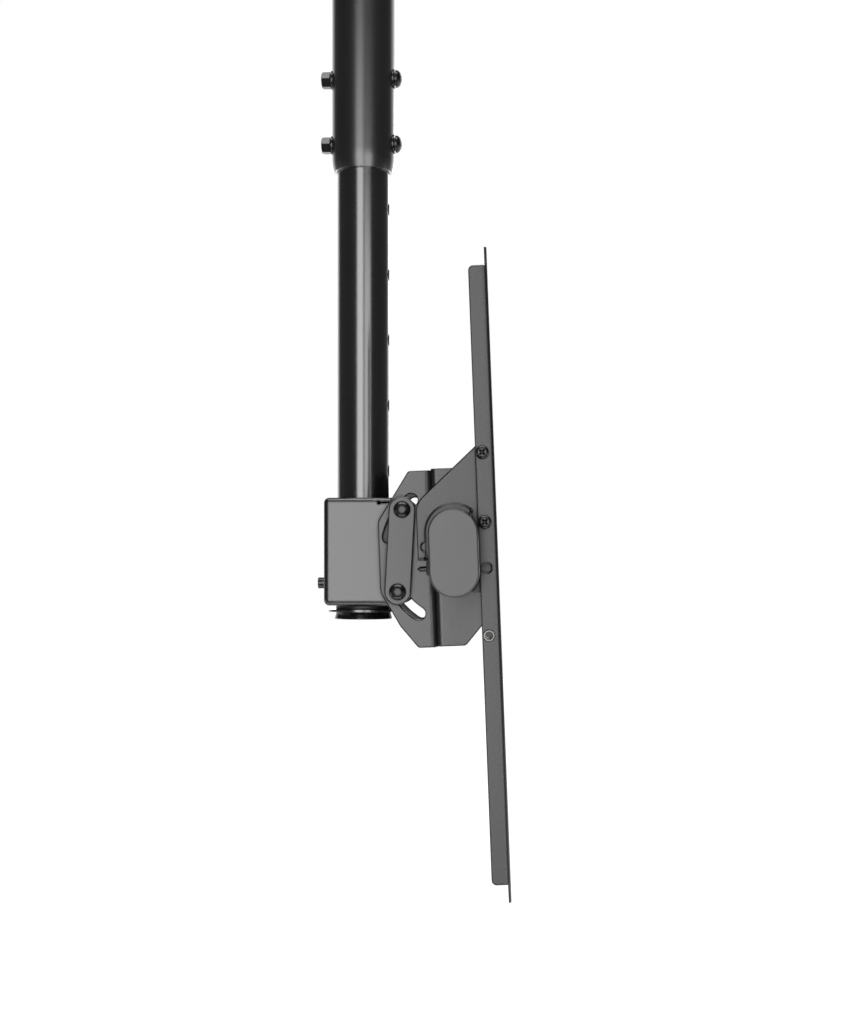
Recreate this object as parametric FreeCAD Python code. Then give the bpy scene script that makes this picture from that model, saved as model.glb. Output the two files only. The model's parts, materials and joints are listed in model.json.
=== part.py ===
import FreeCAD, Part
import math
import os

# Telescopic ceiling mount for a television: a plate under the ceiling, an outer pole and an inner
# pole that slides in it, a folded head that swivels on the inner pole, two channels back to back
# that tilt and level, and a crossbar with two arms that carry the screen.
# Frame: origin at the centre of the plate's ceiling face, +Z up, +X towards the screen and
# +Y to the right of someone who faces the screen. Millimetres and degrees.

V = FreeCAD.Vector

# ceiling plate and its welded collar
plate_side = 150.0
plate_thickness = 5.0
plate_corner = 12.0
plate_hole_spacing = 120.0
plate_hole_d = 9.0
plate_cable_hole_d = 30.0
collar_wall = 3.0
collar_height = 60.0
collar_bolt_drop = 35.0

# poles
outer_pole_d = 47.6
outer_pole_wall = 2.0
outer_pole_length = 457.0
swage_height = 14.0
inner_pole_d = 39.6
inner_pole_wall = 2.0
pole_exposed = 250.0
pole_hole_pitch = 50.0
pole_hole_d = 9.0
height_bolt_count = 2
height_bolt_above_rim = 21.5
pole_holes_above = 2
pole_holes_below = 5
pole_top_margin = 25.0
pole_yaw = -4.7
guide_ring_skirt = 10.0
guide_ring_lip = 2.0

# eight millimetre bolts and nuts
bolt_d = 8.0
dome_head_d = 13.2
dome_head_height = 4.0
dome_socket_flats = 5.0
nut_flats = 13.2
cross_nut_flats = 11.2
nut_height = 6.6
bolt_end = 0.3
saddle_d = 14.5
saddle_thickness = 0.5
saddle_boss_d = 9.6
saddle_boss_height = 0.9

# swivel head
head_back = 27.5
head_panel_front = 28.0
head_width = 62.0
head_height = 81.0
head_sheet = 3.0
head_bend = 4.0
head_slit_x = 14.0
head_slit_width = 1.0
head_relief_x = 23.0
head_relief_r = 1.3
head_drawn_wall = 0.9
head_drawn_height = 3.2
ear_radius = 8.5
disc_d = 53.4
disc_thickness = 1.8
cap_flare_d = 44.2
cap_neck_d = 41.2
cap_flange_height = 5.6
cap_plug_length = 12.0
cap_wall = 2.6
lock_screw_d = 5.0
lock_head_d = 8.6
lock_head_height = 7.1
lock_socket_flats = 4.0
lock_nut_flats = 8.0
lock_nut_height = 3.2
lock_above_bottom = 16.8

# tilt axis and the two bolts that run in the curved slots
axis_x = 73.5
axis_below_head_top = 42.3
rest_tilt = -2.2
tilt_forward = 25.0
tilt_back = 11.0
slot_radius = 53.4
slot_width = 9.6
upper_bolt_drop = 9.3
lower_bolt_rise = 10.4
tilt_head_d = 12.4
tilt_head_height = 4.2
tilt_nut_flats = 12.0
link_width = 19.4
link_thickness = 3.0

# channels, back to back
channel_sheet = 3.0
channel_bend = 4.0
tilt_channel_top = 63.2
tilt_channel_bottom = 68.9
bar_channel_top = 64.3
bar_channel_bottom = 68.5
tilt_cheek_reach = 59.2
tilt_cheek_flat = 26.6
tilt_cheek_top_x = 35.2
tilt_cheek_knee_x = 45.5
tilt_cheek_knee_z = 52.2
tilt_cheek_bottom_x = 32.4
bar_cheek_front = 24.0
bar_cheek_end_x = 3.0
bar_cheek_drop = 24.0
level_pivot_z = 45.0
level_lock_z = 42.0
level_range = 3.0

# crossbar, a flat oval tube
bar_width = 31.0
bar_height = 55.8
bar_centre_z = -1.1
bar_wall = 2.0
bar_length = 436.0
bar_cap_rim = 2.0
bar_cap_overhang = 0.4
bar_cap_plug = 12.0
bar_cap_wall = 1.6

# arms
arm_from_bar_end = 44.0
rail_width = 32.0
rail_depth = 12.5
rail_sheet = 1.8
rail_bend = 3.0
rail_length = 425.8
rail_top = 196.9
rail_face_x = 28.4
rail_flange_short = 11.7
rail_flange_corner = 3.4
screen_hole_pitch = 400.0
screen_hole_d = 8.6
screen_slots = ((107.0, 26.0), (151.0, 46.0))
rail_screw_line = 8.0
rail_screw_heights = (63.7, 18.5)
rail_spare_hole_z = -11.3
rail_spare_hole_d = 7.0
insert_z = -55.2
insert_flange_d = 7.4
insert_flange_height = 0.8
insert_bore_d = 5.4
insert_barrel_d = 6.6
insert_barrel_length = 9.0
arm_screw_d = 5.0
arm_screw_head_d = 8.8
arm_screw_head_height = 3.2
arm_screw_length = 8.0
hook_sheet = 2.5
hook_bend = 3.5
hook_top = 74.0
hook_rear_x = 24.0
hook_rear_top = 32.5
hook_slope = 41.7
hook_corner = 14.0
hook_rear_end = -2.7
hook_foot_z = -27.0
hook_foot_x = 11.0
hook_rim_width = 2.8
hook_rim_lift = 1.4
hook_rim_rise = 1.3
hook_rim_edge = 0.5
hook_rim_end_angle = 46.0
hook_notch_width_angle = 12.0
hook_notch_lean_angle = 9.0
hook_notch_depth = 4.6
dimple_x = -18.6
dimple_z = 3.9
dimple_d = 6.2
dimple_height = 1.1
tab_thickness = 2.5
tab_width = 10.0
tab_bend = 3.0
tab_edge_bend = 2.2
tab_side_round = 1.0
tab_drop = 12.3
tab_gap = 0.9
arm_lock_d = 4.0
arm_lock_length = 8.9
arm_lock_z = -10.6
arm_lock_point = 1.6

# clearances
running_gap = 0.1
slide_gap = 0.3
side_gap = 0.2
thread_gap = 0.05
fit_gap = 0.05
hook_gap = 0.35

# levels and places that follow from the sizes above
outer_pole_r = outer_pole_d / 2
inner_pole_r = inner_pole_d / 2
outer_pole_top = -plate_thickness
rim_z = outer_pole_top - outer_pole_length
lower_height_bolt_z = rim_z + height_bolt_above_rim
head_top = rim_z - pole_exposed
head_bottom = head_top - head_height
inner_pole_top = lower_height_bolt_z + pole_holes_above * pole_hole_pitch + pole_top_margin
disc_top = head_bottom - head_drawn_height - running_gap
inner_pole_bottom = disc_top - disc_thickness
axis_z = head_top - axis_below_head_top
ear_outer_y = head_width / 2
ear_inner_y = ear_outer_y - head_sheet
cheek_inner_y = ear_outer_y + side_gap
cheek_outer_y = cheek_inner_y + channel_sheet
link_inner_y = cheek_outer_y + side_gap
link_outer_y = link_inner_y + link_thickness
bar_back_x = -bar_width / 2
bar_round_rise = (bar_height - bar_width) / 2
web_plane_x = bar_back_x - channel_sheet
rail_inner_x = rail_face_x - rail_sheet
rail_screw_x = rail_face_x - rail_screw_line
hook_half_width = rail_width / 2 - rail_sheet
arm_lock_y = -hook_half_width + (tab_bend + tab_width) / 2
bolt_face = outer_pole_r + saddle_thickness + saddle_boss_height
arm_offset = bar_length / 2 - arm_from_bar_end
upper_bolt_angle = math.degrees(math.asin((axis_below_head_top - upper_bolt_drop) / slot_radius))
lower_bolt_angle = math.degrees(
    math.asin((head_height - axis_below_head_top - lower_bolt_rise) / slot_radius))


# Closed wire through corners given as (vector, radius), each rounded by a tangent arc.
def rounded_wire(corners):
    count = len(corners)
    arrivals = []
    middles = []
    departures = []
    for i in range(count):
        corner, radius = corners[i]
        towards_last = corners[i - 1][0] - corner
        towards_next = corners[(i + 1) % count][0] - corner
        towards_last.normalize()
        towards_next.normalize()
        half_angle = towards_last.getAngle(towards_next) / 2
        bisector = towards_last + towards_next
        if radius > 0:
            bisector.normalize()
            reach = radius / math.tan(half_angle)
            centre = corner + bisector * (radius / math.sin(half_angle))
            arrivals.append(corner + towards_last * reach)
            departures.append(corner + towards_next * reach)
            middles.append(centre - bisector * radius)
        else:
            arrivals.append(corner)
            departures.append(corner)
            middles.append(None)
    edges = []
    for i in range(count):
        if middles[i] is not None:
            edges.append(Part.Arc(arrivals[i], middles[i], departures[i]).toShape())
        following = arrivals[(i + 1) % count]
        if departures[i].distanceToPoint(following) > 1e-6:
            edges.append(Part.LineSegment(departures[i], following).toShape())
    return Part.Wire(edges)


# Prism across Y, from y_start to y_end, of an outline of (x, z, radius) corners.
def prism_y(corners, y_start, y_end):
    wire = rounded_wire([(V(x, y_start, z), radius) for x, z, radius in corners])
    return Part.Face(wire).extrude(V(0, y_end - y_start, 0))


# Prism along Z of an outline of (x, y, radius) corners.
def prism_z(corners, z_start, z_end):
    wire = rounded_wire([(V(x, y, z_start), radius) for x, y, radius in corners])
    return Part.Face(wire).extrude(V(0, 0, z_end - z_start))


# Solid of revolution about Z of an (r, z, radius) outline.
def turned(corners):
    wire = rounded_wire([(V(r, 0, z), radius) for r, z, radius in corners])
    return Part.Face(wire).revolve(V(0, 0, 0), V(0, 0, 1), 360)


# Turns a piece made along +Z so that it points along direction, and moves it to a place.
def aim(shape, place, direction):
    result = shape.copy()
    turn = FreeCAD.Rotation(V(0, 0, 1), direction)
    result.Placement = FreeCAD.Placement(place, turn).multiply(result.Placement)
    return result


def cylinder(radius, start, end):
    direction = end - start
    return Part.makeCylinder(radius, direction.Length, start, direction)


def hexagon_prism(flats, height):
    radius = flats / math.sqrt(3)
    points = [V(radius * math.cos(math.radians(60 * i)), radius * math.sin(math.radians(60 * i)), 0)
              for i in range(6)]
    return Part.Face(Part.makePolygon(points + [points[0]])).extrude(V(0, 0, height))


def ring(outer_r, inner_r, z_start, z_end):
    outer = Part.makeCylinder(outer_r, z_end - z_start, V(0, 0, z_start))
    return outer.cut(Part.makeCylinder(inner_r, z_end - z_start, V(0, 0, z_start)))


# Curved slot about a centre, in the plane of the unit vectors u and v, cut through by depth
# both ways along their normal. Angles are measured from u towards v.
def curved_slot(centre, u, v, radius, angle_start, angle_end, width, depth):
    def at(r, angle):
        turn = math.radians(angle)
        return centre + u * (r * math.cos(turn)) + v * (r * math.sin(turn))

    half = width / 2
    over = math.degrees(half / radius)
    middle = (angle_start + angle_end) / 2
    outer = (at(radius + half, angle_start), at(radius + half, middle), at(radius + half, angle_end))
    inner = (at(radius - half, angle_end), at(radius - half, middle), at(radius - half, angle_start))
    end_cap = (outer[2], at(radius, angle_end + over), inner[0])
    start_cap = (inner[2], at(radius, angle_start - over), outer[0])
    arcs = (outer, end_cap, inner, start_cap)
    face = Part.Face(Part.Wire([Part.Arc(*points).toShape() for points in arcs]))
    normal = u.cross(v)
    face.translate(normal * -depth)
    return face.extrude(normal * (2 * depth))


# Oval outline, straight on the sides and round at top and bottom, grown by an offset.
def oval_prism(offset, y_start, y_end):
    half_w = bar_width / 2 + offset
    half_h = bar_height / 2 + offset
    corners = [(way * half_w, bar_centre_z + rise * half_h, half_w)
               for way, rise in ((-1, -1), (1, -1), (1, 1), (-1, 1))]
    return prism_y(corners, y_start, y_end)


# Sheet folded into a channel: web face at web_x, flanges towards edge_x, between two heights.
def folded_channel(web_x, edge_x, half_width, sheet, bend, z_start, z_end):
    inward = 1 if edge_x > web_x else -1
    inner_x = web_x + inward * sheet
    inner_y = half_width - sheet
    inner_bend = bend - sheet
    corners = [
        (edge_x, -half_width, 0), (web_x, -half_width, bend), (web_x, half_width, bend),
        (edge_x, half_width, 0), (edge_x, inner_y, 0), (inner_x, inner_y, inner_bend),
        (inner_x, -inner_y, inner_bend), (edge_x, -inner_y, 0),
    ]
    return prism_z(corners, z_start, z_end)


# Bolt with a low dome head and a hexagon socket; the head sits on z = 0 and the shank goes down.
def dome_bolt(head_d, head_height, shank_d, shank_length, socket_flats):
    head_r = head_d / 2
    rim = head_height * 0.25
    profile = [
        Part.LineSegment(V(0, 0, 0), V(head_r, 0, 0)).toShape(),
        Part.LineSegment(V(head_r, 0, 0), V(head_r, 0, rim)).toShape(),
        Part.Arc(V(head_r, 0, rim), V(head_r * 0.74, 0, head_height * 0.78),
                 V(head_r * 0.3, 0, head_height)).toShape(),
        Part.LineSegment(V(head_r * 0.3, 0, head_height), V(0, 0, head_height)).toShape(),
        Part.LineSegment(V(0, 0, head_height), V(0, 0, 0)).toShape(),
    ]
    head = Part.Face(Part.Wire(profile)).revolve(V(0, 0, 0), V(0, 0, 1), 360)
    socket_depth = head_height * 0.6
    socket = hexagon_prism(socket_flats, socket_depth + 1)
    socket.translate(V(0, 0, head_height - socket_depth))
    shank = Part.makeCylinder(shank_d / 2, shank_length, V(0, 0, -shank_length))
    return head.cut(socket).fuse(shank).removeSplitter()


# Nut whose bearing face lies on z = 0, with chamfered corners.
def hex_nut(flats, height, thread_d):
    corner_r = flats / math.sqrt(3)
    chamfer = (corner_r - flats / 2) * 1.1
    blank = hexagon_prism(flats, height)
    crown = turned([(0, 0, 0), (corner_r, 0, 0), (corner_r, height - chamfer, 0),
                    (corner_r - chamfer, height, 0), (0, height, 0)])
    bore = Part.makeCylinder(thread_d / 2 + thread_gap, height + 2, V(0, 0, -1))
    return blank.common(crown).cut(bore).removeSplitter()


# Pan head screw with a cross recess; the head sits on z = 0 and the shank goes down.
def pan_screw(head_d, head_height, shank_d, shank_length):
    head_r = head_d / 2
    head = turned([(0, 0, 0), (head_r, 0, 0), (head_r, head_height, head_height * 0.7),
                   (0, head_height, 0)])
    arm_length = head_d * 0.56
    arm_width = head_d * 0.13
    depth = head_height * 0.6
    point = Part.makeCone(arm_width / 2, arm_length / 2, depth, V(0, 0, head_height - depth))
    point = point.fuse(Part.makeCylinder(arm_length / 2, 1, V(0, 0, head_height)))
    for turn in (45, 135):
        arm = Part.makeBox(arm_length, arm_width, depth + 1,
                           V(-arm_length / 2, -arm_width / 2, head_height - depth))
        arm.rotate(V(0, 0, 0), V(0, 0, 1), turn)
        head = head.cut(arm.common(point))
    shank = Part.makeCylinder(shank_d / 2, shank_length, V(0, 0, -shank_length))
    return head.fuse(shank).removeSplitter()


# Nut on a bolt across the pole, with two of its flats facing up and down.
def cross_nut():
    nut = hex_nut(cross_nut_flats, nut_height, bolt_d)
    nut.rotate(V(0, 0, 0), V(0, 0, 1), 30)
    return nut


# Turns a piece about the pole with the direction of the cross bolts.
def yawed(shape):
    result = shape.copy()
    result.rotate(V(0, 0, 0), V(0, 0, 1), pole_yaw)
    return result


# Carries a piece made about the tilt axis to its place, at the rest tilt.
def tilted(shape):
    result = shape.copy()
    result.rotate(V(0, 0, 0), V(0, 1, 0), rest_tilt)
    result.translate(V(axis_x, 0, axis_z))
    return result


# Centres of the upper and lower tilt bolts, as seen from the side.
def tilt_bolt_places():
    upper = math.radians(upper_bolt_angle)
    lower = math.radians(lower_bolt_angle)
    return [
        V(axis_x - slot_radius * math.cos(upper), 0, axis_z + slot_radius * math.sin(upper)),
        V(axis_x - slot_radius * math.cos(lower), 0, axis_z - slot_radius * math.sin(lower)),
    ]


# Plate screwed to the ceiling, with a hole for each corner screw and one for the cables.
def ceiling_plate():
    half = plate_side / 2
    corners = [(-half, -half, plate_corner), (half, -half, plate_corner),
               (half, half, plate_corner), (-half, half, plate_corner)]
    plate = prism_z(corners, -plate_thickness, 0)
    reach = plate_hole_spacing / 2
    for x in (-reach, reach):
        for y in (-reach, reach):
            plate = plate.cut(cylinder(plate_hole_d / 2, V(x, y, 1), V(x, y, -plate_thickness - 1)))
    return plate.cut(cylinder(plate_cable_hole_d / 2, V(0, 0, 1), V(0, 0, -plate_thickness - 1)))


# Collar welded under the plate, around the top of the outer pole.
def ceiling_collar():
    inner_r = outer_pole_r + running_gap
    outer_r = inner_r + collar_wall
    collar = ring(outer_r, inner_r, outer_pole_top - collar_height, outer_pole_top)
    return yawed(collar.cut(cross_hole(-collar_bolt_drop, outer_r)))


# Cutter for a bolt hole across a pole at a height.
def cross_hole(z, reach):
    return cylinder(pole_hole_d / 2, V(-reach - 1, 0, z), V(reach + 1, 0, z))


def collar_bolt():
    outer_r = outer_pole_r + running_gap + collar_wall
    length = 2 * outer_r + nut_height + bolt_end
    bolt = dome_bolt(dome_head_d, dome_head_height, bolt_d, length, dome_socket_flats)
    return yawed(aim(bolt, V(outer_r, 0, -collar_bolt_drop), V(1, 0, 0)))


def collar_nut():
    outer_r = outer_pole_r + running_gap + collar_wall
    return yawed(aim(cross_nut(), V(-outer_r, 0, -collar_bolt_drop), V(-1, 0, 0)))


# Outer tube; its lower end is swaged inwards until it guides the inner pole.
def outer_pole():
    bore_r = outer_pole_r - outer_pole_wall
    mouth_r = inner_pole_r + slide_gap
    lip_r = mouth_r + outer_pole_wall
    swage_top = rim_z + swage_height
    bow = outer_pole_wall * 0.2
    bow_z = rim_z + swage_height * 0.42
    outside = Part.Arc(V(outer_pole_r, 0, swage_top), V((outer_pole_r + lip_r) / 2 + bow, 0, bow_z),
                       V(lip_r, 0, rim_z))
    inside = Part.Arc(V(mouth_r, 0, rim_z), V((bore_r + mouth_r) / 2 + bow, 0, bow_z),
                      V(bore_r, 0, swage_top))
    edges = [
        Part.LineSegment(V(bore_r, 0, outer_pole_top), V(outer_pole_r, 0, outer_pole_top)).toShape(),
        Part.LineSegment(V(outer_pole_r, 0, outer_pole_top), V(outer_pole_r, 0, swage_top)).toShape(),
        outside.toShape(),
        Part.LineSegment(V(lip_r, 0, rim_z), V(mouth_r, 0, rim_z)).toShape(),
        inside.toShape(),
        Part.LineSegment(V(bore_r, 0, swage_top), V(bore_r, 0, outer_pole_top)).toShape(),
    ]
    pole = Part.Face(Part.Wire(edges)).revolve(V(0, 0, 0), V(0, 0, 1), 360)
    heights = [lower_height_bolt_z + i * pole_hole_pitch for i in range(height_bolt_count)]
    for z in heights + [-collar_bolt_drop]:
        pole = pole.cut(cross_hole(z, outer_pole_r))
    return yawed(pole)


# Inner tube with a column of cross holes that sets the height.
def inner_pole():
    pole = ring(inner_pole_r, inner_pole_r - inner_pole_wall, inner_pole_bottom, inner_pole_top)
    for i in range(-pole_holes_below, pole_holes_above + 1):
        pole = pole.cut(cross_hole(lower_height_bolt_z + i * pole_hole_pitch, inner_pole_r))
    return yawed(pole)


# Plastic ring on the inner pole's top end, which fills the outer pole's bore.
def pole_guide_ring():
    outer_r = outer_pole_r - outer_pole_wall - slide_gap
    fit_r = inner_pole_r + thread_gap
    bore_r = inner_pole_r - inner_pole_wall
    top = inner_pole_top + guide_ring_lip
    foot = inner_pole_top - guide_ring_skirt
    return turned([(bore_r, inner_pole_top, 0), (fit_r, inner_pole_top, 0), (fit_r, foot, 0),
                   (outer_r, foot, 0), (outer_r, top, guide_ring_lip * 0.6), (bore_r, top, 0)])


# Washer hollowed to sit on the round of the outer pole, with a small boss on its outer face.
def saddle_washer(z, side):
    start = V(side * outer_pole_r * 0.8, 0, z)
    face = V(side * (outer_pole_r + saddle_thickness), 0, z)
    seat = V(side * bolt_face, 0, z)
    blank = cylinder(saddle_d / 2, start, face).fuse(cylinder(saddle_boss_d / 2, start, seat))
    blank = blank.cut(cylinder(outer_pole_r, V(0, 0, z - saddle_d), V(0, 0, z + saddle_d)))
    bore = cylinder(bolt_d / 2 + thread_gap, start, seat + V(side, 0, 0))
    return blank.cut(bore).removeSplitter()


def height_bolt_heights():
    return [lower_height_bolt_z + i * pole_hole_pitch for i in range(height_bolt_count)]


def saddle_washers():
    pieces = [saddle_washer(z, side) for z in height_bolt_heights() for side in (-1, 1)]
    return yawed(Part.makeCompound(pieces))


def height_bolts():
    length = 2 * bolt_face + nut_height + bolt_end
    bolt = dome_bolt(dome_head_d, dome_head_height, bolt_d, length, dome_socket_flats)
    pieces = [aim(bolt, V(bolt_face, 0, z), V(1, 0, 0)) for z in height_bolt_heights()]
    return yawed(Part.makeCompound(pieces))


def height_nuts():
    nut = cross_nut()
    pieces = [aim(nut, V(-bolt_face, 0, z), V(-1, 0, 0)) for z in height_bolt_heights()]
    return yawed(Part.makeCompound(pieces))


# Disc welded to the foot of the inner pole, which carries the head.
def retaining_disc():
    return ring(disc_d / 2, inner_pole_r, inner_pole_bottom, disc_top)


# Flared plastic end pressed into the pole's foot, open for cables.
def pole_end_cap():
    plug_r = inner_pole_r - inner_pole_wall - thread_gap
    bore_r = plug_r - cap_wall
    top = inner_pole_bottom + cap_plug_length
    foot = inner_pole_bottom - cap_flange_height
    flare_r = cap_flare_d / 2
    return turned([
        (bore_r, top, 0.5), (plug_r, top, 0.8), (plug_r, inner_pole_bottom, 0),
        (cap_neck_d / 2, inner_pole_bottom, 0), (flare_r, foot, 0.6),
        (flare_r - cap_wall, foot, 0.6), (bore_r, inner_pole_bottom, 3.0),
    ])


# Block with the bends of the folded head, used for its outside and its inside.
def bent_block(x_back, x_front, half_width, z_low, z_high, bend):
    block = Part.makeBox(x_front - x_back, 2 * half_width, z_high - z_low, V(x_back, -half_width, z_low))
    edges = [edge for edge in block.Edges if min(vertex.X for vertex in edge.Vertexes) < x_front - 1e-3]
    return block.makeFillet(bend, edges)


# Side view of an ear, which runs on from the head's side wall and around both tilt bolts.
def ear_outline():
    upper, lower = tilt_bolt_places()
    along = upper - lower
    slope = along.x / along.z
    edge_shift = ear_radius * math.hypot(1, slope)
    ear_top = upper.z + ear_radius
    ear_bottom = lower.z - ear_radius
    top_x = lower.x + edge_shift + slope * (ear_top - lower.z)
    bottom_x = lower.x + edge_shift + slope * (ear_bottom - lower.z)
    wall_top = head_top - head_bend
    wall_bottom = head_bottom + head_bend
    foot_x = min(head_panel_front, lower.x)
    inside_x = min(head_relief_x, foot_x - ear_radius)
    return [
        (inside_x, wall_bottom, 0), (foot_x, wall_bottom, 0), (foot_x, ear_bottom, 0),
        (bottom_x, ear_bottom, ear_radius), (top_x, ear_top, ear_radius),
        (head_panel_front, ear_top, 0), (head_panel_front, wall_top, 0), (inside_x, wall_top, 0),
    ]


# Cutter that takes away a long bend of the box in front of the relief line, where the ear begins.
def bend_relief(side, level, inward):
    outer_y = head_width / 2
    y_low = min(side * (outer_y - head_bend), side * (outer_y + 1))
    z_low = min(level + inward * head_bend, level - inward)
    return Part.makeBox(head_panel_front + 1 - head_relief_x, head_bend + 1, head_bend + 1,
                        V(head_relief_x, y_low, z_low))


# Cutter for the slit under the top bend, with the round hole that ends it.
def top_slit(side):
    outer_y = head_width / 2
    inner_y = outer_y - head_bend - 1
    z_slit = head_top - head_bend
    y_low = min(side * inner_y, side * (outer_y + 1))
    slit = Part.makeBox(head_panel_front + 1 - head_slit_x, outer_y + 1 - inner_y, head_slit_width,
                        V(head_slit_x, y_low, z_slit - head_slit_width / 2))
    hole = cylinder(head_relief_r, V(head_slit_x, side * inner_y, z_slit),
                    V(head_slit_x, side * (outer_y + 1), z_slit))
    return slit.fuse(hole)


# Folded box that turns on the pole, open towards the screen.
def head_box():
    half = head_width / 2
    outside = bent_block(-head_back, head_panel_front, half, head_bottom, head_top, head_bend)
    inside = bent_block(-head_back + head_sheet, head_panel_front + 1, half - head_sheet,
                        head_bottom + head_sheet, head_top - head_sheet, head_bend - head_sheet)
    box = outside.cut(inside)
    for side in (-1, 1):
        box = box.cut(bend_relief(side, head_top, -1)).cut(bend_relief(side, head_bottom, 1))
        box = box.fuse(prism_y(ear_outline(), side * ear_inner_y, side * ear_outer_y))
        box = box.cut(top_slit(side))
    hole_r = inner_pole_r + running_gap
    drawn = Part.makeCylinder(hole_r + head_drawn_wall, head_drawn_height + head_sheet / 2,
                              V(0, 0, head_bottom - head_drawn_height))
    box = box.fuse(drawn)
    box = box.cut(cylinder(hole_r, V(0, 0, head_bottom - head_drawn_height - 1), V(0, 0, head_top + 1)))
    across = V(0, half + 1, 0)
    for place in tilt_bolt_places():
        box = box.cut(cylinder(bolt_d / 2 + side_gap, place - across, place + across))
    z_lock = head_bottom + lock_above_bottom
    lock_hole = cylinder(lock_screw_d / 2 + side_gap, V(-head_back - 1, 0, z_lock),
                         V(-head_back + head_sheet + 1, 0, z_lock))
    return box.cut(lock_hole).removeSplitter()


# Socket head screw through the back of the head, whose end bears on the pole.
def swivel_lock_screw():
    z_lock = head_bottom + lock_above_bottom
    length = head_back - inner_pole_r - slide_gap
    head = turned([(0, 0, 0), (lock_head_d / 2, 0, 0), (lock_head_d / 2, lock_head_height, 0.5),
                   (0, lock_head_height, 0)])
    socket = hexagon_prism(lock_socket_flats, lock_head_height)
    socket.translate(V(0, 0, lock_head_height * 0.45))
    shank = Part.makeCylinder(lock_screw_d / 2, length, V(0, 0, -length))
    screw = head.cut(socket).fuse(shank).removeSplitter()
    return aim(screw, V(-head_back, 0, z_lock), V(-1, 0, 0))


def swivel_lock_nut():
    nut = hex_nut(lock_nut_flats, lock_nut_height, lock_screw_d)
    return aim(nut, V(-head_back + head_sheet, 0, head_bottom + lock_above_bottom), V(1, 0, 0))


def tilt_bolts():
    length = link_outer_y - ear_inner_y + nut_height + bolt_end
    bolt = dome_bolt(tilt_head_d, tilt_head_height, bolt_d, length, dome_socket_flats)
    pieces = [aim(bolt, place + V(0, side * link_outer_y, 0), V(0, side, 0))
              for place in tilt_bolt_places() for side in (-1, 1)]
    return Part.makeCompound(pieces)


def tilt_weld_nuts():
    nut = hex_nut(tilt_nut_flats, nut_height, bolt_d)
    pieces = [aim(nut, place + V(0, side * ear_inner_y, 0), V(0, -side, 0))
              for place in tilt_bolt_places() for side in (-1, 1)]
    return Part.makeCompound(pieces)


# Round-ended strip over both tilt bolts of one side.
def link_plate(side):
    upper, lower = tilt_bolt_places()
    along = upper - lower
    length = along.Length
    half = link_width / 2
    corners = [(-half, -half, half), (half, -half, half), (half, length + half, half),
               (-half, length + half, half)]
    strip = prism_y(corners, -link_thickness / 2, link_thickness / 2)
    for z in (0, length):
        strip = strip.cut(cylinder(bolt_d / 2 + side_gap, V(0, -link_thickness, z), V(0, link_thickness, z)))
    strip.rotate(V(0, 0, 0), V(0, 1, 0), math.degrees(math.atan2(along.x, along.z)))
    strip.translate(lower + V(0, side * (link_inner_y + link_outer_y) / 2, 0))
    return strip


# Angle that a bolt of the head has in the tilting frame, above the level, and its slot's ends.
def slot_angles(bolt_angle):
    spare = math.degrees((slot_width / 2 - bolt_d / 2 - hook_gap) / slot_radius)
    forward = rest_tilt + tilt_forward
    back = tilt_back - rest_tilt
    return bolt_angle - forward + spare, bolt_angle + back - spare


# Slotted channel: cheeks beside the head, web towards the screen.
def tilt_channel():
    blank = folded_channel(web_plane_x, -tilt_cheek_reach, cheek_outer_y, channel_sheet, channel_bend,
                           -tilt_channel_bottom, tilt_channel_top)
    outline = [
        (web_plane_x, tilt_channel_top, 0), (-tilt_cheek_top_x, tilt_channel_top, 3),
        (-tilt_cheek_reach, tilt_cheek_flat, 9),
        (-tilt_cheek_reach, -tilt_cheek_flat, 12), (-tilt_cheek_knee_x, -tilt_cheek_knee_z, 10),
        (-tilt_cheek_bottom_x, -tilt_channel_bottom, 3), (web_plane_x, -tilt_channel_bottom, 0),
    ]
    channel = blank.common(prism_y(outline, -cheek_outer_y - 1, cheek_outer_y + 1))
    depth = cheek_outer_y + 1
    for angle in (upper_bolt_angle, -lower_bolt_angle):
        low, high = slot_angles(angle)
        slot = curved_slot(V(0, 0, 0), V(-1, 0, 0), V(0, 0, 1), slot_radius, low, high, slot_width, depth)
        channel = channel.cut(slot)
    pivot = V(web_plane_x, 0, level_pivot_z)
    through = V(channel_sheet + 1, 0, 0)
    channel = channel.cut(cylinder(bolt_d / 2 + running_gap, pivot - through, pivot + through))
    reach = level_pivot_z + level_lock_z
    lock_slot = curved_slot(pivot, V(0, 0, -1), V(0, 1, 0), reach, -level_range, level_range,
                            bolt_d + 2 * hook_gap, channel_sheet + 1)
    return channel.cut(lock_slot)


# Channel that holds the crossbar, its web against the slotted channel's.
def crossbar_channel():
    blank = folded_channel(web_plane_x, bar_cheek_front, cheek_outer_y, channel_sheet, channel_bend,
                           -bar_channel_bottom, bar_channel_top)
    outline = [
        (web_plane_x, bar_channel_top, 0), (bar_cheek_end_x, bar_channel_top, 4),
        (bar_cheek_front, bar_channel_top - bar_cheek_drop, 3),
        (bar_cheek_front, -bar_channel_bottom + bar_cheek_drop, 3),
        (bar_cheek_end_x, -bar_channel_bottom, 4), (web_plane_x, -bar_channel_bottom, 0),
    ]
    channel = blank.common(prism_y(outline, -cheek_outer_y - 1, cheek_outer_y + 1))
    for side in (-1, 1):
        y_low = min(side * (cheek_inner_y - 1), side * (cheek_outer_y + 1))
        channel = channel.cut(oval_prism(fit_gap, y_low, y_low + channel_sheet + 2))
    for z in (level_pivot_z, -level_lock_z):
        channel = channel.cut(cylinder(bolt_d / 2 + running_gap, V(web_plane_x - 1, 0, z),
                                       V(web_plane_x + channel_sheet + 1, 0, z)))
    return channel


# Bolt through both webs at a height, its head on the slotted channel's side.
def level_bolt(z):
    length = 2 * channel_sheet + nut_height + bolt_end
    bolt = dome_bolt(dome_head_d, dome_head_height, bolt_d, length, dome_socket_flats)
    return aim(bolt, V(web_plane_x - channel_sheet, 0, z), V(-1, 0, 0))


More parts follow.
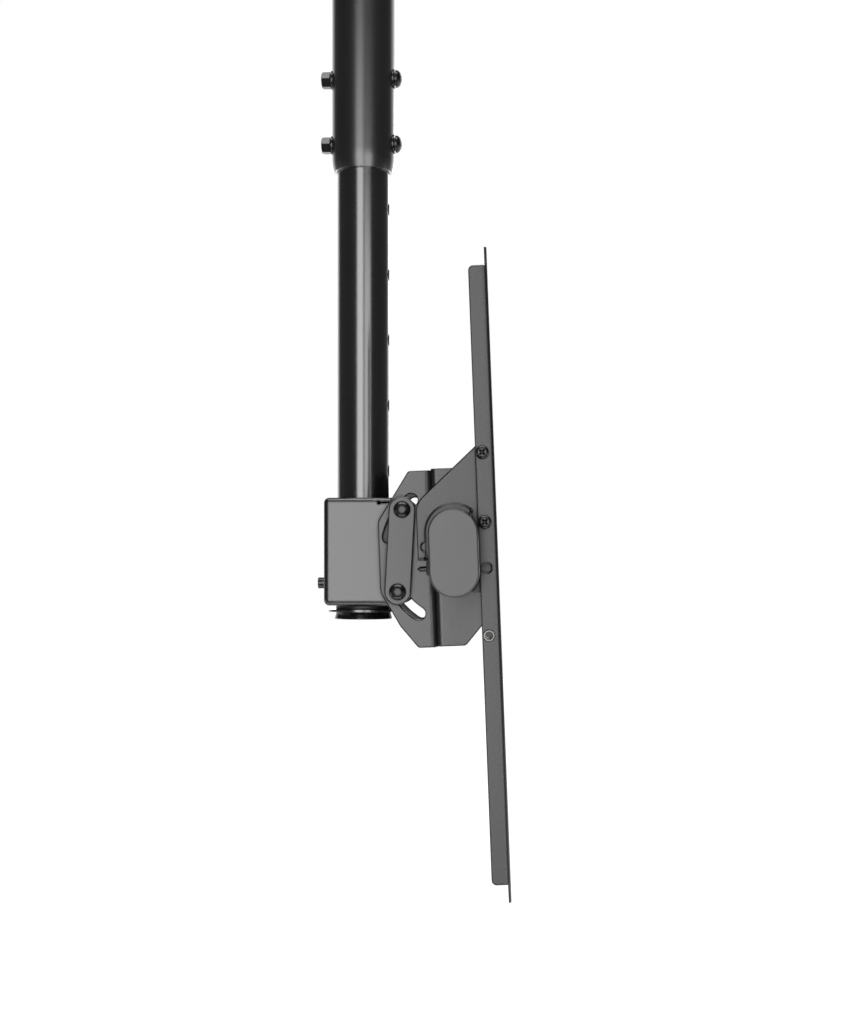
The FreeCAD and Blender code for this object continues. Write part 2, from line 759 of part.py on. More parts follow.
def level_nuts():
    nut = hex_nut(nut_flats, nut_height, bolt_d)
    return Part.makeCompound([aim(nut, V(web_plane_x + channel_sheet, 0, z), V(1, 0, 0))
                              for z in (level_pivot_z, -level_lock_z)])


def crossbar():
    half = bar_length / 2
    return oval_prism(0, -half, half).cut(oval_prism(-bar_wall, -half - 1, half + 1))


# Plastic cap: a rim over the tube's end and a hollow plug inside it.
def crossbar_end_cap(side):
    half = bar_length / 2
    rim = oval_prism(bar_cap_overhang, half, half + bar_cap_rim)
    outer_y = half + bar_cap_rim - 1e-3
    edges = [edge for edge in rim.Edges if min(vertex.Y for vertex in edge.Vertexes) > outer_y]
    rim = rim.makeFillet(bar_cap_rim * 0.4, edges)
    plug = oval_prism(-bar_wall - side_gap, half - bar_cap_plug, half)
    hollow = oval_prism(-bar_wall - side_gap - bar_cap_wall, half - bar_cap_plug - 1, half)
    cap = rim.fuse(plug.cut(hollow)).removeSplitter()
    if side < 0:
        cap = cap.mirror(V(0, 0, 0), V(0, 1, 0))
    return cap


# Heights of the screen holes and slots of a rail, as (height, length).
def screen_openings():
    middle = rail_top - rail_length / 2
    places = [(middle + way * screen_hole_pitch / 2, screen_hole_d) for way in (-1, 1)]
    for offset, length in screen_slots:
        places += [(middle + way * offset, length) for way in (-1, 1)]
    return places


# Upright rail of an arm: a shallow folded channel whose flanges stop short of its ends.
def arm_rail():
    bottom = rail_top - rail_length
    edge_x = rail_face_x - rail_depth
    blank = folded_channel(rail_face_x, edge_x, rail_width / 2, rail_sheet, rail_bend, bottom, rail_top)
    outline = [
        (rail_face_x, rail_top, 0), (rail_face_x, bottom, 0), (rail_inner_x, bottom, 0),
        (rail_inner_x, bottom + rail_flange_short, 0),
        (edge_x, bottom + rail_flange_short, rail_flange_corner),
        (edge_x, rail_top - rail_flange_short, rail_flange_corner),
        (rail_inner_x, rail_top - rail_flange_short, 0), (rail_inner_x, rail_top, 0),
    ]
    rail = blank.common(prism_y(outline, -rail_width, rail_width))
    for z, length in screen_openings():
        radius = screen_hole_d / 2
        if length > screen_hole_d:
            half = length / 2
            wire = rounded_wire([(V(rail_inner_x - 2, y, z + w), radius) for y, w in
                                 ((-radius, -half), (radius, -half), (radius, half), (-radius, half))])
            rail = rail.cut(Part.Face(wire).extrude(V(rail_sheet + 4, 0, 0)))
        else:
            rail = rail.cut(cylinder(radius, V(rail_inner_x - 2, 0, z), V(rail_face_x + 2, 0, z)))
    across = V(0, rail_width / 2 + 1, 0)
    for z in rail_screw_heights:
        rail = rail.cut(cylinder(arm_screw_d / 2 + side_gap, V(rail_screw_x, 0, z) - across,
                                 V(rail_screw_x, 0, z) + across))
    spare = V(rail_screw_x, 0, rail_spare_hole_z)
    rail = rail.cut(cylinder(rail_spare_hole_d / 2, spare - across, spare + across))
    seat = V(rail_screw_x, 0, insert_z)
    return rail.cut(cylinder(insert_barrel_d / 2 + thread_gap, seat - across, seat + across))


# Raised rim round one cheek's hook: straight behind the bar, then round over its top. It is widest
# at the top, where its round stands higher than the bar's.
def hook_rim():
    radius = bar_width / 2 + hook_gap
    centre_z = bar_centre_z + bar_round_rise + hook_rim_lift
    outer_y = -hook_half_width - hook_rim_rise
    inner_y = -hook_half_width + hook_sheet / 2
    section = [(-hook_rim_lift, outer_y, 0), (hook_rim_width, outer_y, hook_rim_edge),
               (hook_rim_width, inner_y, 0), (-hook_rim_lift, inner_y, 0)]
    straight_wire = rounded_wire([(V(-radius - r, y, hook_rear_end), edge) for r, y, edge in section])
    straight = Part.Face(straight_wire).extrude(V(0, 0, centre_z - hook_rear_end))
    round_wire = rounded_wire([(V(-radius - r, y, centre_z), edge) for r, y, edge in section])
    sweep = 180 - hook_rim_end_angle
    round_part = Part.Face(round_wire).revolve(V(0, 0, centre_z), V(0, 1, 0), sweep)
    return straight.fuse(round_part).removeSplitter()


# Cutter for the pointed notch in a cheek where the rim ends.
def hook_notch(y_start, y_end):
    radius = bar_width / 2 + hook_gap
    centre_z = bar_centre_z + bar_round_rise
    tip_angle = hook_rim_end_angle + hook_notch_lean_angle
    corners = []
    for r, angle in ((radius - 1, hook_rim_end_angle), (radius + hook_notch_depth, tip_angle),
                     (radius - 1, hook_rim_end_angle - hook_notch_width_angle)):
        turn = math.radians(angle)
        corners.append((r * math.cos(turn), centre_z + r * math.sin(turn), 0))
    return prism_y(corners, y_start, y_end)


# Folded bracket in the rail: a web and two cheeks whose hooks hang over the crossbar.
def arm_hook_bracket():
    half = hook_half_width
    blank = folded_channel(rail_inner_x, -hook_rear_x, half, hook_sheet, hook_bend, hook_foot_z, hook_top)
    rise = math.tan(math.radians(hook_slope))
    top_x = -hook_rear_x + (hook_top - hook_rear_top) / rise
    outline = [
        (-hook_rear_x, hook_rear_top, hook_corner), (top_x, hook_top, 3), (rail_inner_x, hook_top, 0),
        (rail_inner_x, hook_foot_z, 0), (hook_foot_x, hook_foot_z, 1.5),
        (0, bar_centre_z - bar_round_rise, 0), (0, hook_rear_end, 0), (-hook_rear_x, hook_rear_end, 0),
    ]
    bracket = blank.common(prism_y(outline, -half - 1, half + 1))
    for side in (-1, 1):
        rim = hook_rim()
        if side > 0:
            rim = rim.mirror(V(0, 0, 0), V(0, 1, 0))
        dimple = cylinder(dimple_d / 2, V(dimple_x, side * (half - hook_sheet / 2), dimple_z),
                          V(dimple_x, side * (half + dimple_height), dimple_z))
        bracket = bracket.fuse(rim).fuse(dimple)
    far_y = half + hook_rim_rise + 1
    bracket = bracket.cut(oval_prism(hook_gap, -far_y, far_y)).cut(hook_notch(-far_y, far_y))
    bracket = bracket.fuse(lock_tab())
    across = V(0, half + 1, 0)
    for z in rail_screw_heights:
        place = V(rail_screw_x, 0, z)
        bracket = bracket.cut(cylinder(arm_screw_d / 2 + thread_gap, place - across, place + across))
    return bracket.removeSplitter()


# Tab folded under the rear end of the outer cheek, which takes the arm's lock screw.
def lock_tab():
    front_x = bar_back_x - tab_gap
    face = -hook_half_width
    inner = face + tab_width
    under = hook_rear_end - tab_thickness
    bottom = hook_rear_end - tab_drop
    section = [
        (-hook_rear_x, face, hook_rear_end, 0), (-hook_rear_x, face, under, tab_edge_bend),
        (-hook_rear_x, inner, under, 0), (-hook_rear_x, inner, hook_rear_end, 0),
    ]
    wire = rounded_wire([(V(x, y, z), radius) for x, y, z, radius in section])
    shelf = Part.Face(wire).extrude(V(hook_rear_x + front_x - tab_bend, 0, 0))
    bent = [
        (front_x - tab_bend, hook_rear_end, 0), (front_x, hook_rear_end, tab_bend), (front_x, bottom, 0.8),
        (front_x - tab_thickness, bottom, 0.8), (front_x - tab_thickness, under, 0.5),
        (front_x - tab_bend, under, 0),
    ]
    near_y = face + tab_bend
    plate = prism_y(bent, near_y, inner)
    sides = [edge for edge in plate.Edges if abs(edge.CenterOfMass.y - near_y) < 1e-6
             and edge.BoundBox.ZLength > tab_drop * 0.4 and edge.BoundBox.XLength < 1e-6]
    tab = shelf.fuse(plate.makeFillet(tab_side_round, sides))
    hole = cylinder(arm_lock_d / 2 + thread_gap, V(-hook_rear_x, arm_lock_y, arm_lock_z),
                    V(0, arm_lock_y, arm_lock_z))
    return tab.cut(hole)


# Grub screw in the tab; its flat end stops just short of the bar and its rear end is pointed.
def arm_lock_screw():
    radius = arm_lock_d / 2
    body = turned([(0, 0, 0), (radius, 0, 0.3), (radius, arm_lock_length - arm_lock_point, 0),
                   (radius * 0.35, arm_lock_length, 0), (0, arm_lock_length, 0)])
    return aim(body, V(bar_back_x - hook_gap, arm_lock_y, arm_lock_z), V(-1, 0, 0))


def arm_bracket_screws():
    screw = pan_screw(arm_screw_head_d, arm_screw_head_height, arm_screw_d, arm_screw_length)
    pieces = [aim(screw, V(rail_screw_x, side * rail_width / 2, z), V(0, side, 0))
              for z in rail_screw_heights for side in (-1, 1)]
    return Part.makeCompound(pieces)


# Threaded inserts in the rail's flanges, for a spare fixing.
def arm_rail_inserts():
    pieces = []
    for side in (-1, 1):
        body = turned([
            (insert_bore_d / 2, insert_flange_height, 0), (insert_flange_d / 2, insert_flange_height, 0.3),
            (insert_flange_d / 2, 0, 0), (insert_barrel_d / 2, 0, 0),
            (insert_barrel_d / 2, -insert_barrel_length, 0), (insert_bore_d / 2, -insert_barrel_length, 0),
        ])
        pieces.append(aim(body, V(rail_screw_x, side * rail_width / 2, insert_z), V(0, side, 0)))
    return Part.makeCompound(pieces)


# Puts a piece of the left arm on the crossbar, or its mirror image for the right arm.
def on_arm(shape, side):
    result = shape.copy()
    result.translate(V(0, -arm_offset, 0))
    if side > 0:
        result = result.mirror(V(0, 0, 0), V(0, 1, 0))
    return tilted(result)


def build():
    pieces = {
        "ceiling_plate": ceiling_plate(),
        "ceiling_collar": ceiling_collar(),
        "collar_bolt": collar_bolt(),
        "collar_nut": collar_nut(),
        "outer_pole": outer_pole(),
        "height_bolts": height_bolts(),
        "height_nuts": height_nuts(),
        "saddle_washers": saddle_washers(),
        "inner_pole": inner_pole(),
        "pole_guide_ring": pole_guide_ring(),
        "retaining_disc": retaining_disc(),
        "pole_end_cap": pole_end_cap(),
        "head_box": head_box(),
        "swivel_lock_screw": swivel_lock_screw(),
        "swivel_lock_nut": swivel_lock_nut(),
        "tilt_bolts": tilt_bolts(),
        "tilt_weld_nuts": tilt_weld_nuts(),
        "left_link_plate": link_plate(-1),
        "right_link_plate": link_plate(1),
        "tilt_channel": tilted(tilt_channel()),
        "crossbar_channel": tilted(crossbar_channel()),
        "level_pivot_bolt": tilted(level_bolt(level_pivot_z)),
        "level_lock_bolt": tilted(level_bolt(-level_lock_z)),
        "level_nuts": tilted(level_nuts()),
        "crossbar": tilted(crossbar()),
        "left_end_cap": tilted(crossbar_end_cap(-1)),
        "right_end_cap": tilted(crossbar_end_cap(1)),
    }
    arm_parts = {
        "arm_rail": arm_rail(),
        "hook_bracket": arm_hook_bracket(),
        "bracket_screws": arm_bracket_screws(),
        "rail_inserts": arm_rail_inserts(),
        "arm_lock_screw": arm_lock_screw(),
    }
    for name, side in (("left", -1), ("right", 1)):
        for part, shape in arm_parts.items():
            pieces[name + "_" + part] = on_arm(shape, side)
    return pieces


os.makedirs("parts", exist_ok=True)
for node, shape in build().items():
    shape.exportStep("parts/" + node + ".step")
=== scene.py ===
import json
import math

import bmesh
import bpy
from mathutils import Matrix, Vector


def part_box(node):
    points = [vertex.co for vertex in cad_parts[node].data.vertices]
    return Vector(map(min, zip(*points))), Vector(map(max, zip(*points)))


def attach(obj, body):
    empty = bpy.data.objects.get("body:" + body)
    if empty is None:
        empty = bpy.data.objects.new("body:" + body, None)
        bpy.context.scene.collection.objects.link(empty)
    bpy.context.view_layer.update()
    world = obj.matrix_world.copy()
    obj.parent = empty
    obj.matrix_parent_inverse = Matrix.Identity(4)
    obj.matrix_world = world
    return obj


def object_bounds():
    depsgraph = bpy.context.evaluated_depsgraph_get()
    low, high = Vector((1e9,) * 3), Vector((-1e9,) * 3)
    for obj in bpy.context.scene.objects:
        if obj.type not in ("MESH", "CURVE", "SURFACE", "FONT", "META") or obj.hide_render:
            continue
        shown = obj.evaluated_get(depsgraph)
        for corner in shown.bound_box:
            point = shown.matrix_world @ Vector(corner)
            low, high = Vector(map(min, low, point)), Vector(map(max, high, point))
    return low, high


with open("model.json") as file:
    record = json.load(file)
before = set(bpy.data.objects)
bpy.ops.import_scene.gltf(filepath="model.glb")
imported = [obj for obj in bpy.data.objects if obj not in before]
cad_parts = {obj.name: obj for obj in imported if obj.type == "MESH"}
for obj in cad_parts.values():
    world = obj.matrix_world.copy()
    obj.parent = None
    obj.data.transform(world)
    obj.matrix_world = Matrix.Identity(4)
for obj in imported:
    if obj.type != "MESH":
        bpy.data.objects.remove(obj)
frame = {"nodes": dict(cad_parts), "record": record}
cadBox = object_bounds()
nodes = frame["nodes"]
print("frame loaded:", len(nodes), "parts")


# sRGB hex to the linear colour that shaders take
def linear(hexText):
    channels = [int(hexText[i:i + 2], 16) / 255 for i in (1, 3, 5)]
    return tuple(c / 12.92 if c <= 0.04045 else ((c + 0.055) / 1.055) ** 2.4 for c in channels) + (1.0,)


def metres(sizeMm):
    return sizeMm / 1000


# An empty node tree for a material or a world
def emptyTree(owner):
    owner.use_nodes = True
    owner.node_tree.nodes.clear()
    return owner.node_tree


# Adds a node with its settings; an input is a value or another node's socket
def addNode(tree, kind, settings=None, inputs=None):
    node = tree.nodes.new(kind)
    for name, value in (settings or {}).items():
        setattr(node, name, value)
    for name, value in (inputs or {}).items():
        if isinstance(value, bpy.types.NodeSocket):
            tree.links.new(value, node.inputs[name])
        else:
            node.inputs[name].default_value = value
    return node


# A Mix node's sockets share their names between its data types, so they are found by place
mixColour = {"first": 6, "second": 7, "result": 2}
mixValue = {"first": 2, "second": 3, "result": 0}

# How every finish is drawn. The noises run between the two ends of their spans. "roundedSpan" is how
# alike the rounded and the flat surface are (1 is the same) where the edge's colour starts and where it
# is full. "openSpan" is the share of open sky over a place from deep inside to out on an open face.
drawing = {
    "driftDetail": 3.0, "driftRoughness": 0.55, "driftSpan": (0.3, 0.7),
    "grainDetail": 2.0, "grainRoughness": 0.6, "grainSpan": (0.25, 0.75),
    "edgeSamples": 8, "roundedSpan": (0.98, 0.80),
    "skySamples": 8, "openSpan": (0.4, 0.8),
}


# A coat draws back in a soft round from every sharp edge, and "edgeLean" says how far that round leans
# over: it turns the gloss there away from the lamps, which gives each plate its dark outline. Returns
# the surface's direction and how much of an edge a place is.
def coatedEdge(tree, finish):
    bevel = addNode(tree, "ShaderNodeBevel", {"samples": drawing["edgeSamples"]},
                    {"Radius": metres(finish["edgeMm"])}).outputs["Normal"]
    flat = addNode(tree, "ShaderNodeNewGeometry").outputs["Normal"]
    lean = addNode(tree, "ShaderNodeVectorMath", {"operation": "SUBTRACT"}, {0: bevel, 1: flat})
    pushed = addNode(tree, "ShaderNodeVectorMath", {"operation": "MULTIPLY_ADD"},
                     {0: lean.outputs["Vector"], 1: (finish["edgeLean"],) * 3, 2: bevel})
    rounded = addNode(tree, "ShaderNodeVectorMath", {"operation": "NORMALIZE"},
                      {0: pushed.outputs["Vector"]})
    alike = addNode(tree, "ShaderNodeVectorMath", {"operation": "DOT_PRODUCT"}, {0: bevel, 1: flat})
    flatEnd, edgeEnd = drawing["roundedSpan"]
    edge = addNode(tree, "ShaderNodeMapRange", {"clamp": True},
                   {"Value": alike.outputs["Value"], "From Min": flatEnd, "From Max": edgeEnd})
    return rounded.outputs["Vector"], edge.outputs["Result"]


# Colour that drifts a little over the piece at random, with another colour painted along its edges: on the
# sheet coats and the matt ABS a darker one, painted shade that deepens each plate's dark outline; on the
# poles, fasteners, nylon and zinc a lighter one
def coatColour(tree, finish, place, edge):
    drift = addNode(tree, "ShaderNodeTexNoise", {"noise_dimensions": "3D"},
                    {"Vector": place, "Scale": 1 / metres(finish["driftMm"]),
                     "Detail": drawing["driftDetail"], "Roughness": drawing["driftRoughness"]})
    driftLow, driftHigh = drawing["driftSpan"]
    shade = addNode(tree, "ShaderNodeMapRange", {"clamp": True},
                    {"Value": drift.outputs["Fac"], "From Min": driftLow, "From Max": driftHigh})
    colour = addNode(tree, "ShaderNodeMix", {"data_type": "RGBA"},
                     {"Factor": shade.outputs["Result"], mixColour["first"]: linear(finish["colour"]),
                      mixColour["second"]: linear(finish["colourFar"])})
    # painted edge colour: on the coats, painted shade for the dark outlines
    edged = addNode(tree, "ShaderNodeMix", {"data_type": "RGBA"},
                    {"Factor": edge, mixColour["first"]: colour.outputs[mixColour["result"]],
                     mixColour["second"]: linear(finish["paintedEdgeColour"])})
    return edged.outputs[mixColour["result"]]


# Bores, slots and the laps between plates are drawn darker, painted shade where little open sky reaches
# them, and rougher than open faces
def paintRecessShade(tree, finish, paint, rough):
    sky = addNode(tree, "ShaderNodeAmbientOcclusion", {"samples": drawing["skySamples"]},
                  {"Distance": metres(finish["insideMm"])})
    insideEnd, openEnd = drawing["openSpan"]
    outside = addNode(tree, "ShaderNodeMapRange", {"clamp": True},
                      {"Value": sky.outputs["AO"], "From Min": insideEnd,
                       "From Max": openEnd}).outputs["Result"]
    # painted shade: the colour darkens where the occlusion finds little open sky
    paint = addNode(tree, "ShaderNodeMix", {"data_type": "RGBA"},
                    {"Factor": outside, mixColour["first"]: linear(finish["paintedShadeColour"]),
                     mixColour["second"]: paint}).outputs[mixColour["result"]]
    rough = addNode(tree, "ShaderNodeMix", {"data_type": "FLOAT"},
                    {"Factor": outside, mixValue["first"]: finish["insideRough"],
                     mixValue["second"]: rough}).outputs[mixValue["result"]]
    return paint, rough


# One finish from its dictionary: the colour, a fine grain that breaks up the gloss, and soft edges
def surfaceFinish(name, finish):
    material = bpy.data.materials.new(name)
    tree = emptyTree(material)
    place = addNode(tree, "ShaderNodeTexCoord").outputs["Object"]
    rounded, edge = coatedEdge(tree, finish)
    paint = coatColour(tree, finish, place, edge)
    grain = addNode(tree, "ShaderNodeTexNoise", {"noise_dimensions": "3D"},
                    {"Vector": place, "Scale": 1 / metres(finish["grainMm"]),
                     "Detail": drawing["grainDetail"], "Roughness": drawing["grainRoughness"]})
    grainLow, grainHigh = drawing["grainSpan"]
    smoothest, roughest = finish["roughness"]
    rough = addNode(tree, "ShaderNodeMapRange", {"clamp": True},
                    {"Value": grain.outputs["Fac"], "From Min": grainLow, "From Max": grainHigh,
                     "To Min": smoothest, "To Max": roughest}).outputs["Result"]
    # painted shade in bores, slots and laps where the finish lists a colour for it
    if "paintedShadeColour" in finish:
        paint, rough = paintRecessShade(tree, finish, paint, rough)
    bump = addNode(tree, "ShaderNodeBump", {},
                   {"Height": grain.outputs["Fac"], "Distance": metres(finish["grainHeightMm"]),
                    "Strength": 1.0, "Normal": rounded})
    shader = addNode(tree, "ShaderNodeBsdfPrincipled", {},
                     {"Base Color": paint, "Roughness": rough, "Normal": bump.outputs["Normal"]})
    for socket in ("Metallic", "IOR", "Coat Weight", "Coat Roughness"):
        if socket in finish:
            shader.inputs[socket].default_value = finish[socket]
    addNode(tree, "ShaderNodeOutputMaterial", {}, {"Surface": shader.outputs["BSDF"]})
    return material


# Matt black powder coat baked on folded sheet: black in the paint, grey only where it mirrors the
# soft boxes as a broad sheen, with a faint orange peel. The peel of a real coat is near 0.8 mm and is
# drawn at 1.5 mm, or it wouldn't show in the render. The still finer grain of plating and moulded
# plastic is drawn at 0.5 to 1 mm for the same reason.
sheetCoat = {
    "colour": "#0e0e0f", "colourFar": "#131314", "driftMm": 55,
    # the darker edge colour is painted shade for each plate's dark outline
    "paintedEdgeColour": "#0c0c0d", "edgeMm": 1.5, "edgeLean": 2.0,
    "grainMm": 1.5, "grainHeightMm": 0.0006, "roughness": (0.20, 0.23),
    # painted shade in slots and in the laps between plates
    "paintedShadeColour": "#0a0a0a", "insideMm": 9, "insideRough": 0.55,
    "Metallic": 0.0, "IOR": 1.68,
}
# The same coat on the channels, links and crossbar, a shade more matt: a duller sheen than the head's.
mattSheetCoat = {
    **sheetCoat,
    # a darker edge colour again: painted shade for the dark outline
    "colour": "#111112", "colourFar": "#161617", "paintedEdgeColour": "#0e0e0f",
    "roughness": (0.27, 0.30), "insideRough": 0.6, "IOR": 1.6,
}
# The arms' coat mirrors a little less again, so their long faces are a touch darker.
armSheetCoat = {**mattSheetCoat, "IOR": 1.54}
# Satin powder coat on drawn tube, drawn as two glossy layers: a long tight highlight down the pole.
poleCoat = {
    "colour": "#0a0a0b", "colourFar": "#0f0f10", "driftMm": 70,
    "paintedEdgeColour": "#181819", "edgeMm": 0.6, "edgeLean": 0.0,
    "grainMm": 1.5, "grainHeightMm": 0.0012, "roughness": (0.19, 0.24),
    "Metallic": 0.0, "IOR": 1.75, "Coat Weight": 1.0, "Coat Roughness": 0.2,
}
# The upper pole's coat is a little more matt, so its highlight is broad and soft.
mattPoleCoat = {
    **poleCoat,
    "paintedEdgeColour": "#1c1c1d", "grainHeightMm": 0.002, "roughness": (0.28, 0.33),
    "IOR": 1.6, "Coat Roughness": 0.26,
}
# Steel fasteners plated black: nearly black, with a dull gleam on the crown of each head.
blackPlate = {
    "colour": "#050505", "colourFar": "#080808", "driftMm": 6,
    "paintedEdgeColour": "#101010", "edgeMm": 0.5, "edgeLean": 1.0,
    "grainMm": 0.6, "grainHeightMm": 0.001, "roughness": (0.26, 0.32),
    "Metallic": 0.0, "IOR": 1.52,
}
# Moulded ABS, spark-eroded matt: an even dark grey with a broad low sheen.
mouldedAbs = {
    "colour": "#151516", "colourFar": "#1a1a1b", "driftMm": 40,
    # the darker edge colour is painted shade for the dark outline
    "paintedEdgeColour": "#121213", "edgeMm": 1.3, "edgeLean": 2.0,
    "grainMm": 1.0, "grainHeightMm": 0.002, "roughness": (0.31, 0.36),
    "Metallic": 0.0, "IOR": 1.64,
}
# The pole's foot in glossy black ABS: thin bright lines on black.
glossAbs = {
    "colour": "#060607", "colourFar": "#09090a", "driftMm": 20,
    "paintedEdgeColour": "#0c0c0d", "edgeMm": 0.3, "edgeLean": 0.0,
    "grainMm": 1.0, "grainHeightMm": 0.001, "roughness": (0.14, 0.19),
    "Metallic": 0.0, "IOR": 1.5,
}
# Moulded nylon, dark and slightly waxy.
mouldedNylon = {
    "colour": "#3c3c3b", "colourFar": "#444442", "driftMm": 20,
    "paintedEdgeColour": "#4a4a48", "edgeMm": 0.4, "edgeLean": 0.0,
    "grainMm": 0.8, "grainHeightMm": 0.006, "roughness": (0.36, 0.44),
    "Metallic": 0.0, "IOR": 1.53,
}
# Turned steel in zinc plate, dulled: a light ring on each rail, round a bore darkened with painted shade.
dullZinc = {
    "colour": "#6c6c6a", "colourFar": "#60605e", "driftMm": 4,
    "paintedEdgeColour": "#7c7c7a", "edgeMm": 0.2, "edgeLean": 0.0,
    "grainMm": 0.5, "grainHeightMm": 0.002, "roughness": (0.30, 0.38),
    "paintedShadeColour": "#050505", "insideMm": 6.0, "insideRough": 0.5,
    "Metallic": 1.0,
}

slotFinish = {
    "sheet_coat": surfaceFinish("powderCoatedSheet", sheetCoat),
    "pole_coat": surfaceFinish("powderCoatedTube", poleCoat),
    "bolt_black": surfaceFinish("blackPlatedSteel", blackPlate),
    "cap_plastic": surfaceFinish("absMouldedMatt", mouldedAbs),
    "guide_nylon": surfaceFinish("nylonMoulded", mouldedNylon),
    "insert_zinc": surfaceFinish("dullZincSteel", dullZinc),
}
upperPole = surfaceFinish("mattPowderCoatedTube", mattPoleCoat)
mattSheet = surfaceFinish("mattPowderCoatedSheet", mattSheetCoat)
armSheet = surfaceFinish("mattPowderCoatedArm", armSheetCoat)

# Parts whose finish isn't quite their slot's
ownFinish = {
    "outer_pole": upperPole, "ceiling_collar": upperPole, "crossbar": mattSheet,
    "crossbar_channel": mattSheet, "tilt_channel": mattSheet,
    "pole_end_cap": surfaceFinish("absMouldedGloss", glossAbs),
}
for side in ("left", "right"):
    ownFinish[side + "_link_plate"] = mattSheet
    ownFinish[side + "_arm_rail"] = armSheet
    ownFinish[side + "_hook_bracket"] = armSheet

for row in frame["record"]["subparts"]:
    slots = nodes[row["node"]].data.materials
    slots.clear()
    slots.append(ownFinish.get(row["node"], slotFinish[row["material_slot"]]))
print("finishes on", len(nodes), "parts")


# Weld bead between the ceiling plate and the collar, just under the collar's top: "ripples" are the
# steps of the torch, and a slower wander makes the bead thicker and thinner on its way round.
collarBead = {
    "outMm": 0.5, "downMm": 0.6, "thicknessMm": 2.1, "ripples": 48, "rippleShare": 0.10,
    "wanders": 3, "wanderShare": 0.05, "wanderStart": 1.0, "steps": 288, "sides": 10,
}


def weldBead(name, bead, around, slotName, body):
    low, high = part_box(around)
    radius = (high.y - low.y) / 2 + metres(bead["outMm"])
    height = high.z - metres(bead["downMm"])
    form = bmesh.new()
    rings = []
    for i in range(bead["steps"]):
        turn = 2 * math.pi * i / bead["steps"]
        ripple = bead["rippleShare"] * math.sin(bead["ripples"] * turn)
        wander = bead["wanderShare"] * math.sin(bead["wanders"] * turn + bead["wanderStart"])
        thickness = metres(bead["thicknessMm"]) * (1 + ripple + wander)
        ring = []
        for j in range(bead["sides"]):
            section = 2 * math.pi * j / bead["sides"]
            r = radius + thickness * math.cos(section)
            z = height + thickness * math.sin(section)
            ring.append(form.verts.new((r * math.cos(turn), r * math.sin(turn), z)))
        rings.append(ring)
    for i, ring in enumerate(rings):
        following = rings[(i + 1) % len(rings)]
        for j in range(len(ring)):
            k = (j + 1) % len(ring)
            form.faces.new((ring[j], following[j], following[k], ring[k]))
    bmesh.ops.recalc_face_normals(form, faces=form.faces)
    for face in form.faces:
        face.smooth = True
    mesh = bpy.data.meshes.new(name)
    form.to_mesh(mesh)
    form.free()
    mesh.materials.append(slotFinish[slotName])
    piece = bpy.data.objects.new(name, mesh)
    bpy.context.scene.collection.objects.link(piece)
    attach(piece, body)


weldBead("collar_weld", collarBead, "ceiling_collar", "pole_coat", "ceiling_pole")
print("weld bead laid")


# 1 for rays that show the background: the camera's own, mirrored ones and ones through glass
def seenRay(tree):
    path = addNode(tree, "ShaderNodeLightPath")
    first = addNode(tree, "ShaderNodeMath", {"operation": "MAXIMUM"},
                    {0: path.outputs["Is Camera Ray"], 1: path.outputs["Is Glossy Ray"]})
    both = addNode(tree, "ShaderNodeMath", {"operation": "MAXIMUM"},
                   {0: first.outputs["Value"], 1: path.outputs["Is Transmission Ray"]})
    return both.outputs["Value"]


# White behind the mount. In gloss the white is the backdrop alone, a wide sheet on the far side: it
# fades in as a ray's own Y goes from "sheetStart" to "sheetFull". The rest of the studio is dim, so tube
# sides and bends stay black as they do on a real black coat.
backdrop = {
    "colour": "#ffffff", "seen": 1.0, "fill": 0.2, "dimStudio": 0.08, "sheetStart": 0.55, "sheetFull": 0.8,
}


def whiteBackdrop():
    world = bpy.data.worlds.new("studio")
    bpy.context.scene.world = world
    tree = emptyTree(world)
    path = addNode(tree, "ShaderNodeLightPath")
    way = addNode(tree, "ShaderNodeTexCoord").outputs["Generated"]
    across = addNode(tree, "ShaderNodeSeparateXYZ", {}, {"Vector": way})
    sheet = addNode(tree, "ShaderNodeMapRange", {"clamp": True, "interpolation_type": "SMOOTHSTEP"},
                    {"Value": across.outputs["Y"],
                     "From Min": backdrop["sheetStart"], "From Max": backdrop["sheetFull"],
                     "To Min": backdrop["dimStudio"], "To Max": backdrop["seen"]})
    lit = addNode(tree, "ShaderNodeMix", {"data_type": "FLOAT"},
                  {"Factor": seenRay(tree), mixValue["first"]: backdrop["fill"],
                   mixValue["second"]: backdrop["seen"]})
    strength = addNode(tree, "ShaderNodeMix", {"data_type": "FLOAT"},
                       {"Factor": path.outputs["Is Glossy Ray"],
                        mixValue["first"]: lit.outputs[mixValue["result"]],
                        mixValue["second"]: sheet.outputs["Result"]})
    shown = addNode(tree, "ShaderNodeBackground", {},
                    {"Color": linear(backdrop["colour"]), "Strength": strength.outputs[mixValue["result"]]})
    addNode(tree, "ShaderNodeOutputWorld", {}, {"Surface": shown.outputs["Background"]})


# Floor far below the mount, pale and plain, in metres. Under the mount it is paint and soft light, so
# that the shadow stays in it; from "near" to "far" it glows up to plain white and meets the backdrop
# without a line. In gloss the white paper fades in from "paperStart" to "paperFull" along Y, because
# the studio's own floor on the lamps' side is dim.
floorPlan = {
    "size": 40.0, "drop": 1.25, "colour": "#f2f2f2", "paperStart": 0.2, "paperFull": 0.7,
    "near": 0.8, "far": 2.6, "glowNear": 0.35, "glowFar": 1.0,
}


